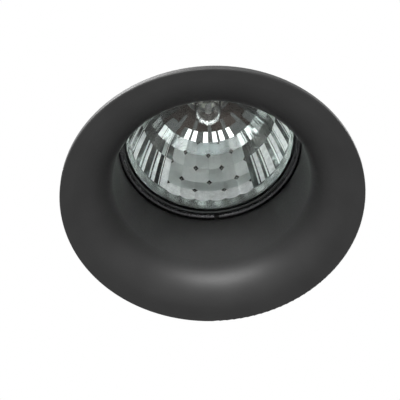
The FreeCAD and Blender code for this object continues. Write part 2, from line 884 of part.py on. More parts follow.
def build_capsule():
    """Quartz burner: a hollow bulb with a round end and a flat pinch at its back."""
    body = new_body("lamp_capsule")
    inner = d.capsule_radius - d.capsule_wall
    back = d.capsule_back
    outline = [
        (0, d.dome_height - d.capsule_radius), (d.capsule_radius, d.dome_height),
        (d.capsule_radius, back), (0, back), (0, back - d.capsule_wall),
        (inner, back - d.capsule_wall), (inner, d.dome_height), (0, d.dome_height - inner),
    ]
    arcs = {0: (d.capsule_radius, (0, d.dome_height)), 6: (inner, (0, d.dome_height))}
    turn(body, [polygon(outline, arcs)])
    half_u, half_v = d.pinch_width / 2, d.pinch_breadth / 2
    pad(body, "XY_Plane", [rectangle(-half_u, -half_v, half_u, half_v)], back, d.pinch_top)
    return kept(body)


def build_filament():
    """The tungsten coil on the lamp's axis, with a straight leg at each end."""
    leg = value_of(d.filament_leg)
    item = doc.addObject("Part::Feature", "lamp_filament")
    item.Shape = coil(
        value_of(d.filament_radius), value_of(d.filament_pitch), 0,
        360 * value_of(d.filament_turns), value_of(d.filament_wire), leg, leg,
    )
    item.Placement = Placement(Vector(0, 0, value_of(d.dome_height)), Rotation())
    return kept(item)


def build_filament_posts():
    """Two supports that stand on the bulb's back wall and carry the coil's legs."""
    back = d.capsule_back - d.capsule_wall
    reach = d.filament_leg + d.post_radius
    rise = d.filament_turns * d.filament_pitch
    posts = []
    for name, side, foot in (("front", -1, -d.filament_wire), ("back", 1, rise - d.filament_wire)):
        low = d.dome_height + foot
        at = (d.filament_radius, side * reach, low)
        posts.append(cylinder(f"filament_post_{name}", d.post_radius, back - low, at))
    return kept(group("filament_posts", posts))


def build_cement():
    """Cement between the capsule and the neck."""
    low = d.base_bottom + d.cement_step
    plug = cylinder("cement_plug", d.neck_bore - d.fit_play, d.neck_top - low, (0, 0, low))
    hole = cylinder("cement_hole", d.capsule_radius + d.fit_play, d.neck_top - low, (0, 0, low))
    return kept(cut("lamp_cement", plug, [hole]))


def build_base():
    """Ceramic base: it holds the neck below and the two pins in its end wall."""
    body = new_body("lamp_base")
    outline = rounded(d.base_width / 2, d.base_breadth / 2, d.base_round)
    pad(body, "XY_Plane", [outline], d.base_bottom, d.base_top)
    socket_top = d.neck_top + d.fit_play
    socket = circle(0, 0, d.neck_radius + d.fit_play)
    pocket(body, "XY_Plane", [socket], d.base_bottom, socket_top)
    pocket(body, "XY_Plane", [circle(0, 0, d.base_cavity)], socket_top, d.end_wall)
    half = d.pin_spacing / 2
    bore = d.pin_neck_radius + d.fit_play
    pocket(body, "XY_Plane", [circle(x * half, 0, bore) for x in (-1, 1)], d.end_wall, d.base_top)
    return kept(body)


def build_pins():
    """Two bayonet pins: a mushroom head outside and a tail inside the base."""
    pins = []
    for name, side in (("left", -1), ("right", 1)):
        x = side * d.pin_spacing / 2
        neck = cylinder(f"pin_neck_{name}", d.pin_neck_radius, d.pin_head_low - d.end_wall,
                        (x, 0, d.end_wall))
        head = cylinder(f"pin_head_{name}", d.pin_head_radius, d.pin_head_length,
                        (x, 0, d.pin_head_low))
        tail = cylinder(f"pin_tail_{name}", d.pin_tail_radius, d.pin_tail_length,
                        (x, 0, d.end_wall - d.pin_tail_length))
        pins.append(fuse(f"pin_{name}", [tail, neck, head]))
    return kept(group("lamp_pins", pins))


def build_lead_wires():
    """Two wires that rise from the capsule's pinch and turn out to the pins' tails."""
    wires = []
    foot = d.pinch_width / 2 - 3 * d.wire_radius
    tail_side = d.pin_spacing / 2 - d.pin_tail_radius
    height = (d.pinch_top + d.end_wall) / 2
    for name, side in (("left", -1), ("right", 1)):
        rise = height + 2 * d.wire_radius - d.pinch_top
        post = cylinder(f"wire_post_{name}", d.wire_radius, rise, (side * foot, 0, d.pinch_top))
        start = foot if side > 0 else -tail_side
        arm = cylinder(f"wire_arm_{name}", d.wire_radius, tail_side - foot, (start, 0, height), "X")
        wires.append(fuse(f"wire_{name}", [post, arm]))
    return kept(group("lamp_lead_wires", wires))


# ---------------------------------------------------------------- lampholder


def keyhole(side):
    """The slot that a pin's neck turns in, from the locked place to the unlocking hole."""
    radius = d.pin_spacing / 2
    half = d.pin_neck_radius + d.lamp_play
    inner, outer = side * (radius - half), side * (radius + half)
    c, s = cosine(d.lamp_turn), sine(d.lamp_turn)
    corners = [(inner, 0), (outer, 0), (outer * c, -outer * s), (inner * c, -inner * s)]
    arcs = {1: (radius + half, (0, 0)), 3: (radius - half, (0, 0))}
    ends = [circle(side * radius, 0, half)]
    ends.append(circle(side * radius * c, -side * radius * s, d.pin_head_radius + d.lamp_play))
    return polygon(corners, arcs), ends


def build_holder_body():
    """Ceramic holder: keyhole slots, a chamber for the pin heads and pockets for the contacts."""
    body = new_body("lampholder_body")
    outline = rounded(d.holder_width / 2, d.holder_length / 2, d.holder_round)
    pad(body, "XY_Plane", [outline], d.holder_bottom, d.cover_bottom)
    chamber = circle(0, 0, d.chamber_radius)
    pocket(body, "XY_Plane", [chamber], d.chamber_bottom, d.chamber_top)
    breadth = d.contact_pocket
    for side in (-1, 1):
        slot, ends = keyhole(side)
        pocket(body, "XY_Plane", [slot], d.holder_bottom, d.chamber_bottom)
        for end in ends:
            pocket(body, "XY_Plane", [end], d.holder_bottom, d.chamber_bottom)
        outer = side * (d.holder_width / 2 - d.holder_wall)
        inner = side * (d.pin_spacing / 2 - d.contact_width / 2 - d.lamp_play)
        low_x, high_x = sorted((outer, inner), key=value_of)
        area = rectangle(low_x, -breadth, high_x, breadth)
        pocket(body, "XY_Plane", [area], d.chamber_top, d.cover_bottom)
        exit_hole = circle(side * d.pole_pitch, d.lead_exit, d.lead_radius + d.fit_play)
        pocket(body, "XZ_Plane", [exit_hole], -d.holder_length / 2, -breadth)
    half = d.screw_spacing / 2
    holes = [circle(0, y * half, d.screw_radius + d.screw_play) for y in (-1, 1)]
    pocket(body, "XY_Plane", holes, d.holder_bottom, d.cover_bottom)
    sinks = [circle(0, y * half, d.screw_head_radius + d.lamp_play) for y in (-1, 1)]
    sink_top = d.holder_bottom + d.screw_head_height + d.fit_play
    pocket(body, "XY_Plane", sinks, d.holder_bottom, sink_top)
    return kept(body)


def build_holder_cover():
    """Ceramic plate that closes the back of the holder."""
    body = new_body("lampholder_cover")
    outline = rounded(d.holder_width / 2, d.holder_length / 2, d.holder_round)
    half = d.screw_spacing / 2
    holes = [circle(0, y * half, d.screw_radius + d.screw_play) for y in (-1, 1)]
    pad(body, "XY_Plane", [outline, *holes], d.cover_bottom, d.holder_top)
    return kept(body)


def build_contacts():
    """Two bent strips: a blade over each pin head and a tail beside the lead's bare end."""
    strips = []
    half = d.contact_width / 2
    blade_top = d.contact_bottom + d.contact_thickness
    tail_top = d.lead_exit + d.conductor_radius
    tail_front = d.fit_play - d.contact_pocket
    for name, side in (("left", -1), ("right", 1)):
        inner = side * (d.pin_spacing / 2 - half)
        tail_face = side * (d.pole_pitch - d.conductor_radius)
        tail_back = tail_face - side * d.contact_thickness
        low, high = sorted((inner, tail_face), key=value_of)
        blade = block(f"contact_blade_{name}", (low, -half, d.contact_bottom), (high, half, blade_top))
        low, high = sorted((tail_back, tail_face), key=value_of)
        tail = block(f"contact_tail_{name}", (low, tail_front, d.contact_bottom), (high, half, tail_top))
        strips.append(fuse(f"contact_{name}", [blade, tail]))
    return kept(group("lampholder_contacts", strips))


def build_holder_fixings():
    half = d.screw_spacing / 2
    seat = d.holder_bottom + d.screw_head_height
    shank = d.bridge_top + d.nut_height + d.screw_play * 4 - seat
    screws = []
    nuts = []
    for name, side in (("front", -1), ("back", 1)):
        at = (0, side * half, seat)
        screws.append(screw(f"holder_screw_{name}", at, "Z", 1, shank, d.screw_radius,
                            d.screw_head_radius, d.screw_head_height))
        nuts.append(nut(f"holder_nut_{name}", (0, side * half, d.bridge_top), "Z"))
    kept(group("lampholder_screws", screws))
    kept(group("lampholder_nuts", nuts))


# ---------------------------------------------------------------- bracket


def build_bracket():
    """One bent strap: two legs on the bezel's bosses and a bridge over the lampholder."""
    body = new_body("lamp_bracket")
    t = d.strap_thickness
    drop = d.strap_reach - d.bridge_reach
    slope_low = d.holder_top - d.strap_slope
    slope = root(drop * drop + d.strap_slope * d.strap_slope)
    low_turn = (slope - d.strap_slope) / drop
    high_turn = (slope - drop) / d.strap_slope
    half = [
        (d.strap_reach, d.strap_bottom), (d.strap_outside, d.strap_bottom),
        (d.strap_outside, slope_low + t * low_turn), (d.bridge_reach + t * high_turn, d.bridge_top),
    ]
    inside = [(d.bridge_reach, d.holder_top), (d.strap_reach, slope_low)]
    corners = half + [(-y, z) for y, z in reversed(half)]
    corners += [(-y, z) for y, z in reversed(inside)] + inside
    half_width = d.strap_width / 2
    pad(body, "YZ_Plane", [polygon(corners)], -half_width, half_width)

    turns = ((half[2], half[3]), inside)
    for radius, corners in ((d.strap_bend + t, turns[0]), (d.strap_bend, turns[1])):
        def at_bend(edge, corners=corners):
            middle = edge.CenterOfMass
            across = edge.BoundBox.XLength > value_of(d.strap_width) - NEAR
            return across and any(
                math.hypot(abs(middle.y) - value_of(y), middle.z - value_of(z)) < NEAR for y, z in corners
            )
        round_edges(body, radius, at_bend)

    clear = d.screw_radius + d.screw_play
    leg_holes = [
        circle(x * d.strap_screw_spacing / 2, d.strap_screw_height, clear) for x in (-1, 1)
    ]
    pocket(body, "XZ_Plane", leg_holes, -d.strap_outside, d.strap_outside)
    earth = [circle(0, d.earth_screw_height, clear)]
    pocket(body, "XZ_Plane", earth, -d.strap_outside, -d.strap_reach)
    bridge_holes = [circle(0, y * d.screw_spacing / 2, clear) for y in (-1, 1)]
    fixing = d.terminal_screw_radius + d.fit_play
    bridge_holes += [circle(x * d.pole_pitch / 2, 0, fixing) for x in (-1, 1)]
    pocket(body, "XY_Plane", bridge_holes, d.holder_top, d.bridge_top)
    kept(body)

    screws = []
    for side in (-1, 1):
        for x in (-1, 1):
            seat = (x * d.strap_screw_spacing / 2, side * d.strap_outside, d.strap_screw_height)
            shank = d.strap_thickness + d.strap_screw_depth
            name = f"bracket_screw_{len(screws) + 1}"
            screws.append(screw(name, seat, "Y", -side, shank, d.screw_radius,
                                d.screw_head_radius, d.screw_head_height))
    kept(group("bracket_screws", screws))


# ---------------------------------------------------------------- terminal block


def build_terminal_block():
    """Three poles side by side; the supply enters at +Y and the inner leads at -Y."""
    poles = [n * d.pole_pitch for n in (-1, 0, 1)]
    half_y = d.block_breadth / 2
    screw_y = (d.barrel_length + d.barrel_web) / 4
    between = [x * d.pole_pitch / 2 for x in (-1, 1)]
    sink = d.block_top - 2 * d.terminal_head_height
    body = new_body("terminal_block")
    outline = rounded(1.5 * d.pole_pitch, half_y, d.block_round)
    pad(body, "XY_Plane", [outline], d.bridge_top, d.block_top)
    tunnels = [circle(x, d.terminal_axis, d.barrel_radius + d.fit_play) for x in poles]
    pocket(body, "XZ_Plane", tunnels, -half_y, half_y)
    well_radius = d.terminal_head_radius + d.screw_play
    wells = [circle(x, y * screw_y, well_radius) for x in poles for y in (-1, 1)]
    pocket(body, "XY_Plane", wells, d.terminal_axis, d.block_top)
    shafts = [circle(x, 0, d.terminal_screw_radius + d.screw_play) for x in between]
    pocket(body, "XY_Plane", shafts, d.bridge_top, d.block_top)
    heads = [circle(x, 0, d.fixing_head_radius + d.screw_play) for x in between]
    pocket(body, "XY_Plane", heads, sink, d.block_top)
    kept(body)

    barrels = []
    screws = []
    bore_length = (d.barrel_length - d.barrel_web) / 2
    end_y = d.barrel_length / 2
    screw_seat = d.terminal_axis + d.barrel_radius + d.block_wall
    # the screws on the inner side are down on the leads, those on the supply side stand open
    tips = (d.conductor_axis + d.conductor_radius, d.terminal_axis + d.barrel_bore)
    for pole, x in zip(("live", "earth", "neutral"), poles):
        blank = cylinder(f"barrel_blank_{pole}", d.barrel_radius, d.barrel_length,
                         (x, -end_y, d.terminal_axis), "Y")
        tools = []
        for name, side, tip in zip(("in", "out"), (-1, 1), tips):
            start = -end_y if side < 0 else end_y - bore_length
            tools.append(cylinder(f"barrel_bore_{pole}_{name}", d.barrel_bore, bore_length,
                                  (x, start, d.terminal_axis), "Y"))
            tools.append(cylinder(f"barrel_tap_{pole}_{name}", d.terminal_screw_radius + d.fit_play,
                                  2 * d.barrel_radius, (x, side * screw_y, d.terminal_axis)))
            screws.append(screw(f"terminal_screw_{pole}_{name}", (x, side * screw_y, screw_seat),
                                "Z", -1, screw_seat - tip, d.terminal_screw_radius,
                                d.terminal_head_radius, d.terminal_head_height))
        barrels.append(cut(f"barrel_{pole}", blank, tools))
    kept(group("terminal_barrels", barrels))
    kept(group("terminal_screws", screws))

    fixings = []
    for name, x in zip(("left", "right"), between):
        fixings.append(screw(f"terminal_fixing_{name}", (x, 0, sink), "Z", -1,
                             sink - d.holder_top - d.fit_play, d.terminal_screw_radius,
                             d.fixing_head_radius, d.terminal_head_height))
    kept(group("terminal_fixings", fixings))


def build_leads():
    """Two leads from the holder's side up and over into the block, and one to the earth tag."""
    y_holder = -d.contact_pocket - d.lead_end
    y_block = -d.block_breadth / 2 - d.fit_play
    middle = (d.lead_exit + d.conductor_axis) / 2
    for name, side in (("lead_live", -1), ("lead_neutral", 1)):
        x = side * d.pole_pitch
        route = [
            (x, y_holder, d.lead_exit), (x, -d.lead_shoulder, d.lead_exit),
            (x, -d.lead_shoulder - d.lead_loop, middle),
            (x, -d.lead_shoulder, d.conductor_axis), (x, y_block, d.conductor_axis),
        ]
        lead(name, route, d.contact_pocket, d.conductor_length)
    lead_y = d.tag_front - d.lead_radius
    tag_top = d.earth_screw_height + d.tag_rise
    route = [
        (0, y_block, d.conductor_axis), (0, -d.lead_shoulder, d.conductor_axis),
        (0, (3 * lead_y - d.lead_shoulder) / 4, d.conductor_axis - d.earth_fall),
        (0, lead_y, d.holder_top - d.strap_slope / 2), (0, lead_y, tag_top),
    ]
    lead("lead_earth", route, d.conductor_length, d.tag_barrel_length - d.lead_end)


def build_earth_tag():
    """A ring tag on the strap's leg, its crimp barrel pointing up to the earth lead."""
    z = d.earth_screw_height
    half = d.lead_radius + d.tag_thickness
    barrel_top = z + d.tag_rise
    barrel_low = barrel_top - d.tag_barrel_length
    axis_y = d.tag_front - d.lead_radius
    ring = cylinder("tag_ring", d.tag_radius, d.tag_thickness, (0, d.tag_front, z), "Y")
    neck = block("tag_neck", (-half, d.tag_front, z), (half, -d.strap_outside, barrel_top))
    barrel = cylinder("tag_barrel", half, d.tag_barrel_length, (0, axis_y, barrel_low))
    plate = fuse("tag_blank", [ring, neck, barrel])
    hole_radius = d.screw_radius + d.screw_play
    hole = cylinder("tag_hole", hole_radius, d.tag_thickness, (0, d.tag_front, z), "Y")
    bore_radius = d.conductor_radius + d.fit_play
    bore = cylinder("tag_bore", bore_radius, d.tag_barrel_length, (0, axis_y, barrel_low))
    kept(cut("earth_tag", plate, [hole, bore]))
    shank = d.tag_thickness + d.strap_thickness + d.nut_height + 4 * d.screw_play
    kept(screw("earth_screw", (0, d.tag_front, z), "Y", 1, shank, d.screw_radius,
               d.screw_head_radius, d.screw_head_height))
    kept(nut("earth_nut", (0, -d.strap_reach, z), "Y"))


# ---------------------------------------------------------------- spring clips


def hang(item, side):
    """Turns a piece drawn about the pivot down to its rest angle and moves it to its ears."""
    item.Placement = Placement(Vector(0, 0, 0), Rotation(Vector(0, side, 0), value_of(d.clip_drop)))
    bind(
        item, Placement__Base__x=side * d.pivot_reach, Placement__Base__z=d.clip_pivot_height,
        Placement__Rotation__Angle=d.clip_drop,
    )
    return kept(item)


def build_clip_arm(name, side):
    """A flat arm with a turned-up tip and two cheeks that hinge on the pin."""
    arm = new_body(f"clip_arm_{name}")
    half = d.arm_half_width
    tip = side * (d.arm_length + d.arm_tip_run)
    end, heel = side * d.arm_length, -side * d.arm_heel
    side_view = [
        (heel, d.arm_low), (end, d.arm_low), (tip, d.arm_low + d.arm_tip_rise),
        (tip, d.arm_high + d.arm_tip_rise), (end, d.arm_high), (heel, d.arm_high),
    ]
    pad(arm, "XZ_Plane", [polygon(side_view)], -half, half)
    back, front = -side * d.cheek_radius, side * d.cheek_radius
    cheek = [
        (back, d.arm_high), (back, 0), (0, d.cheek_radius), (front, 0),
        (side * d.cheek_run, d.arm_high),
    ]
    arcs = {1: (d.cheek_radius, (0, 0)), 2: (d.cheek_radius, (0, 0))}
    for flank in (-1, 1):
        ends = sorted((flank * d.cheek_inside, flank * half), key=value_of)
        pad(arm, "XZ_Plane", [polygon(cheek, arcs)], *ends)
    pocket(arm, "XZ_Plane", [circle(0, 0, d.pivot_bore)], -half, half)
    return hang(arm, side)


def build_clip_pin(name, side):
    """The hinge pin, riveted over outside both ears."""
    x, z = side * d.pivot_reach, d.clip_pivot_height
    length = 2 * (d.ear_outside + d.ear_gap)
    shank = cylinder(f"pin_shank_{name}", d.clip_pin_radius, length, (x, -length / 2, z), "Y")
    near = cylinder(f"pin_end_front_{name}", d.clip_pin_head, d.arm_thickness,
                    (x, -length / 2 - d.arm_thickness, z), "Y")
    far = cylinder(f"pin_end_back_{name}", d.clip_pin_head, d.arm_thickness, (x, length / 2, z), "Y")
    return kept(fuse(f"clip_pin_{name}", [shank, near, far]))


def build_clip_pad(name, side):
    """A rubber sleeve over the end of the arm, which bears on the soffit's upper face."""
    body = new_body(f"clip_pad_{name}")
    half, wall, play = d.arm_half_width, d.pad_wall, d.fit_play
    far = side * (d.arm_length - play)
    near = far - side * d.pad_length
    low, high = sorted((near, far), key=value_of)
    sleeve = rectangle(-half - wall, d.arm_low - wall, half + wall, d.arm_high + wall)
    hollow = rectangle(-half - play, d.arm_low - play, half + play, d.arm_high + play)
    pad(body, "YZ_Plane", [sleeve], low, high)
    pocket(body, "YZ_Plane", [hollow], low, high)
    return hang(body, side)


def build_clip_spring(name, side):
    """Torsion spring on the pin: one leg up the collar's wall, the other along the arm's top."""
    # the upper leg leans until its end nearly bears on the collar's wall
    lean_reach = d.pivot_offset - d.heel_gap - d.spring_wire / 2 - d.spring_radius
    first = 180.0 + math.degrees(math.asin(value_of(lean_reach / d.spring_leg)))
    last = 270.0 - value_of(d.clip_drop) + 360.0 * value_of(d.spring_turns)
    radius, pitch, leg = value_of(d.spring_radius), value_of(d.spring_pitch), value_of(d.spring_leg)
    item = doc.addObject("Part::Feature", f"clip_spring_{name}")
    item.Shape = coil(radius, pitch, first, last, value_of(d.spring_wire), leg, leg)
    half = pitch * (last - first) / 720.0
    at = Vector(side * value_of(d.pivot_reach), side * half, value_of(d.clip_pivot_height))
    upright = Rotation(Vector(1, 0, 0), 90)
    turned = Rotation(Vector(0, 0, 1), 0 if side > 0 else 180)
    item.Placement = Placement(at, turned * upright)
    return kept(item)


def main():
    build_bezel()
    build_retaining_ring()
    build_reflector()
    build_cover_glass()
    build_capsule()
    build_filament()
    build_filament_posts()
    build_cement()
    build_base()
    build_pins()
    build_lead_wires()
    build_holder_body()
    build_holder_cover()
    build_contacts()
    build_holder_fixings()
    build_bracket()
    build_terminal_block()
    build_leads()
    build_earth_tag()
    for name, side in (("right", 1), ("left", -1)):
        build_clip_arm(name, side)
        build_clip_pin(name, side)
        build_clip_pad(name, side)
        build_clip_spring(name, side)
    doc.recompute()

    faults = [item.Label for item in doc.Objects if {"Invalid", "Error"} & set(item.State)]
    for item in pieces:
        if item.Shape.isNull() or not item.Shape.isValid() or not item.Shape.Solids:
            faults.append(f"{item.Label} shape")
    if faults:
        raise ValueError(f"failed: {faults}")
    os.makedirs("parts", exist_ok=True)
    for item in pieces:
        item.Shape.exportStep(f"parts/{item.Label}.step")
    print(len(pieces), "pieces written")


main()
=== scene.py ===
import math
import random

import bmesh
import bpy
from mathutils import Matrix, Vector

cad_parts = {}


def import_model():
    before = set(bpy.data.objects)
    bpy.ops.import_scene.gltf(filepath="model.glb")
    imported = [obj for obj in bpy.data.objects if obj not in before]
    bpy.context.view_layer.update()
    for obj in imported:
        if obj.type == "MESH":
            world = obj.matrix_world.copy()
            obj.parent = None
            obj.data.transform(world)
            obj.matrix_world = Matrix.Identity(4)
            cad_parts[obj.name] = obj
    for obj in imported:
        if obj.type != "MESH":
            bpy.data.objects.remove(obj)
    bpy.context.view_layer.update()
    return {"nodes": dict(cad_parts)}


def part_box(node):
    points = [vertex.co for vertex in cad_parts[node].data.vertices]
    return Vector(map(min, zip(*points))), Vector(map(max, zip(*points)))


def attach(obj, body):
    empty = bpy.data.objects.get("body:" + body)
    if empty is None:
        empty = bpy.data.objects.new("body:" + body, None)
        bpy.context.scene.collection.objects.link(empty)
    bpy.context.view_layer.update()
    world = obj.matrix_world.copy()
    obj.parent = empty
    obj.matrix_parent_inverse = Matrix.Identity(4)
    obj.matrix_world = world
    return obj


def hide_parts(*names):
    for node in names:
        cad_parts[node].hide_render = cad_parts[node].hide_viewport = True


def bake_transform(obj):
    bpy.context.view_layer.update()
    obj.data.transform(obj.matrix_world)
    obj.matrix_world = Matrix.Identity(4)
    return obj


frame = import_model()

MM = 0.001
scene = bpy.context.scene

# ---------------------------------------------------------------- node helpers


def material(name):
    """A new node material with its principled shader, and its tree."""
    made = bpy.data.materials.new(name)
    made.use_nodes = True
    tree = made.node_tree
    return made, tree, tree.nodes["Principled BSDF"]


def node(tree, kind, inputs=None, **settings):
    """Adds a shader node, sets its properties, and sets or links its inputs."""
    made = tree.nodes.new(kind)
    for name, value in settings.items():
        setattr(made, name, value)
    for key, value in (inputs or {}).items():
        connect(tree, value, made.inputs[key])
    return made


def connect(tree, value, socket):
    """Links an output to the socket, or writes a plain value there."""
    if isinstance(value, bpy.types.NodeSocket):
        tree.links.new(value, socket)
    else:
        socket.default_value = value


def grey(value):
    return (value, value, value, 1.0)


def place(tree):
    """The coordinates of the piece's own mesh, in metres."""
    return node(tree, "ShaderNodeTexCoord").outputs["Object"]


def noise(tree, scale, detail=3.0, roughness=0.5):
    """Noise in the part's own metres; scale is in repeats per metre."""
    made = node(tree, "ShaderNodeTexNoise", {
        "Vector": place(tree), "Scale": scale, "Detail": detail, "Roughness": roughness,
    })
    return made.outputs["Fac"]


def spread(tree, value, low, high, to_low, to_high):
    """Maps a range onto another, held at its ends."""
    made = node(tree, "ShaderNodeMapRange", {
        "Value": value, "From Min": low, "From Max": high, "To Min": to_low, "To Max": to_high,
    })
    return made.outputs["Result"]


def ramp(tree, value, stops):
    """A colour ramp over (position, colour) stops."""
    made = node(tree, "ShaderNodeValToRGB", {"Fac": value})
    elements = made.color_ramp.elements
    while len(elements) < len(stops):
        elements.new(1.0)
    for element, (position, colour) in zip(elements, stops):
        element.position = position
        element.color = colour
    return made.outputs["Color"]


def math_node(tree, operation, a, b=0.0):
    return node(tree, "ShaderNodeMath", {0: a, 1: b}, operation=operation).outputs[0]


def bump(tree, height, distance, strength=1.0):
    made = node(tree, "ShaderNodeBump", {"Height": height, "Distance": distance, "Strength": strength})
    return made.outputs["Normal"]


# ---------------------------------------------------------------- materials


def powder_coat(name, dark, light, rough):
    """Matt paint with a fine orange-peel texture."""
    made, tree, shader = material(name)
    cloud = noise(tree, 90.0, 2.0)
    colour = ramp(tree, cloud, ((0.3, grey(dark)), (0.7, grey(light))))
    grain = noise(tree, 2600.0, 2.0, 0.6)
    peel = noise(tree, 900.0, 1.0)
    height = math_node(tree, "ADD", math_node(tree, "MULTIPLY", grain, 0.6), peel)
    connect(tree, colour, shader.inputs["Base Color"])
    connect(tree, spread(tree, grain, 0.3, 0.7, rough - 0.05, rough + 0.07), shader.inputs["Roughness"])
    connect(tree, bump(tree, height, 0.00002, 0.6), shader.inputs["Normal"])
    shader.inputs["IOR"].default_value = 1.5
    return made


def plated(name, colour, rough):
    """Plated or drawn metal, with fine marks and cloudy gloss."""
    made, tree, shader = material(name)
    marks = noise(tree, 1500.0, 4.0, 0.6)
    cloud = noise(tree, 160.0, 3.0)
    low = [c * 0.86 for c in colour] + [1.0]
    high = [min(1.0, c * 1.08) for c in colour] + [1.0]
    connect(tree, ramp(tree, cloud, ((0.3, low), (0.7, high))), shader.inputs["Base Color"])
    connect(tree, spread(tree, marks, 0.3, 0.7, rough - 0.06, rough + 0.10), shader.inputs["Roughness"])
    connect(tree, bump(tree, marks, 0.000012, 0.5), shader.inputs["Normal"])
    shader.inputs["Metallic"].default_value = 1.0
    return made


def ceramic(name, colour, stain, rough):
    """Ceramic, cement or pressed glass: faintly mottled, with a fine grain."""
    made, tree, shader = material(name)
    cloud = noise(tree, 120.0, 5.0, 0.6)
    grain = noise(tree, 3000.0, 3.0, 0.6)
    connect(tree, ramp(tree, cloud, ((0.25, stain), (0.65, colour))), shader.inputs["Base Color"])
    connect(tree, spread(tree, grain, 0.3, 0.7, rough - 0.08, rough + 0.08), shader.inputs["Roughness"])
    connect(tree, bump(tree, grain, 0.00003, 0.6), shader.inputs["Normal"])
    return made


def moulded(name, colour, rough, grain_depth=0.00001, sub=0.0):
    """Moulded plastic or rubber with a fine grain and slight tone shifts."""
    made, tree, shader = material(name)
    cloud = noise(tree, 140.0, 3.0)
    low = [c * 0.88 for c in colour] + [1.0]
    high = [min(1.0, c * 1.06) for c in colour] + [1.0]
    grain = noise(tree, 2200.0, 3.0, 0.6)
    connect(tree, ramp(tree, cloud, ((0.3, low), (0.7, high))), shader.inputs["Base Color"])
    connect(tree, spread(tree, grain, 0.3, 0.7, rough - 0.06, rough + 0.08), shader.inputs["Roughness"])
    connect(tree, bump(tree, grain, grain_depth, 0.7), shader.inputs["Normal"])
    shader.inputs["Subsurface Weight"].default_value = sub
    return made


BEZEL_BLACK = powder_coat("bezel_powder_coat", 0.020, 0.025, 0.50)
RING_BLACK = plated("ring_black_wire", (0.10, 0.10, 0.104), 0.28)
ZINC = plated("zinc_plate", (0.62, 0.64, 0.66), 0.30)
SPRING = plated("drawn_spring_wire", (0.50, 0.50, 0.51), 0.26)
PINS = plated("nickel_pins", (0.62, 0.60, 0.56), 0.24)
BRASS = plated("brass", (0.72, 0.52, 0.23), 0.28)
TUNGSTEN = plated("tungsten", (0.30, 0.29, 0.28), 0.40)
BASE_CERAMIC = ceramic("lamp_base_ceramic", (0.83, 0.81, 0.75, 1), (0.76, 0.73, 0.66, 1), 0.62)
HOLDER_CERAMIC = ceramic("holder_ceramic", (0.86, 0.85, 0.81, 1), (0.80, 0.78, 0.72, 1), 0.55)
CEMENT = ceramic("cement", (0.70, 0.68, 0.62, 1), (0.60, 0.58, 0.52, 1), 0.80)
NYLON = moulded("block_nylon", (0.84, 0.84, 0.81), 0.42, sub=0.1)
RUBBER = moulded("pad_rubber", (0.045, 0.045, 0.047), 0.62, 0.00003)
BROWN = moulded("lead_brown", (0.17, 0.075, 0.035), 0.38)
BLUE = moulded("lead_blue", (0.03, 0.15, 0.42), 0.38)


def clear_glass(name, tint):
    """Thin clear glass with a faint tint in patches."""
    made, tree, shader = material(name)
    connect(tree, ramp(tree, noise(tree, 60.0, 2.0), ((0.3, tint), (0.7, grey(1.0)))),
            shader.inputs["Base Color"])
    shader.inputs["Transmission Weight"].default_value = 1.0
    shader.inputs["Roughness"].default_value = 0.0
    shader.inputs["IOR"].default_value = 1.46
    # light passes the thin glass, so that what lies behind it is lit
    path = node(tree, "ShaderNodeLightPath")
    clear = node(tree, "ShaderNodeBsdfTransparent", {"Color": grey(0.94)})
    mix = node(tree, "ShaderNodeMixShader", {
        0: path.outputs["Is Shadow Ray"], 1: shader.outputs[0], 2: clear.outputs[0],
    })
    connect(tree, mix.outputs[0], tree.nodes["Material Output"].inputs["Surface"])
    return made


COVER = clear_glass("cover_glass_clear", (0.97, 0.99, 0.98, 1))
QUARTZ = clear_glass("quartz", (0.97, 0.98, 0.98, 1))


def mirror(name, colour, rough, cloudy=0.90):
    """Dichroic mirror on pressed glass: metallic, a little cloudy, with specks in its gloss."""
    made, tree, shader = material(name)
    cloud = noise(tree, 700.0, 4.0, 0.6)
    low = [c * cloudy for c in colour] + [1.0]
    connect(tree, ramp(tree, cloud, ((0.3, low), (0.7, list(colour) + [1.0]))), shader.inputs["Base Color"])
    speck = noise(tree, 1400.0, 2.0)
    connect(tree, spread(tree, speck, 0.35, 0.75, rough, rough + 0.05), shader.inputs["Roughness"])
    shader.inputs["Metallic"].default_value = 1.0
    return made


# copies of one mirror coat in lighter and darker tones: painted reflections, with bright streaks, dim
# facets and dark gaps set in the colour rather than by the light
MIRROR = mirror("bowl_mirror", (0.84, 0.88, 0.865), 0.29)
BRIGHT_REFLECTION_MIRROR = mirror("bowl_painted_bright", (0.94, 0.975, 0.96), 0.30)
# a dimmer copy on the smooth band: painted dim reflection
BAND_MIRROR = mirror("bowl_band", (0.56, 0.59, 0.575), 0.18)
DIM_REFLECTION_MIRROR = mirror("bowl_painted_dim", (0.50, 0.535, 0.525), 0.16)
MID_MIRROR = mirror("bowl_mid", (0.69, 0.735, 0.72), 0.28)
# near-black copy: painted shade in the facets' pits, and the near-black neck, bare rings and side flutes
NEAR_BLACK_MIRROR = mirror("bowl_near_black", (0.034, 0.028, 0.024), 0.22)
# the brightest copy, strongly mottled: painted highlight streaks at the sides and on the first facet row
HIGHLIGHT_STREAK_MIRROR = mirror("bowl_painted_highlight", (0.97, 0.985, 0.985), 0.36, 0.68)
# a dark copy: painted dark reflections in the streak gaps, flutes and neck rings
DARK_REFLECTION_MIRROR = mirror("bowl_painted_dark", (0.20, 0.22, 0.215), 0.06)
GLASS_RIM = ceramic("pressed_glass", (0.20, 0.21, 0.21, 1), (0.14, 0.15, 0.15, 1), 0.16)


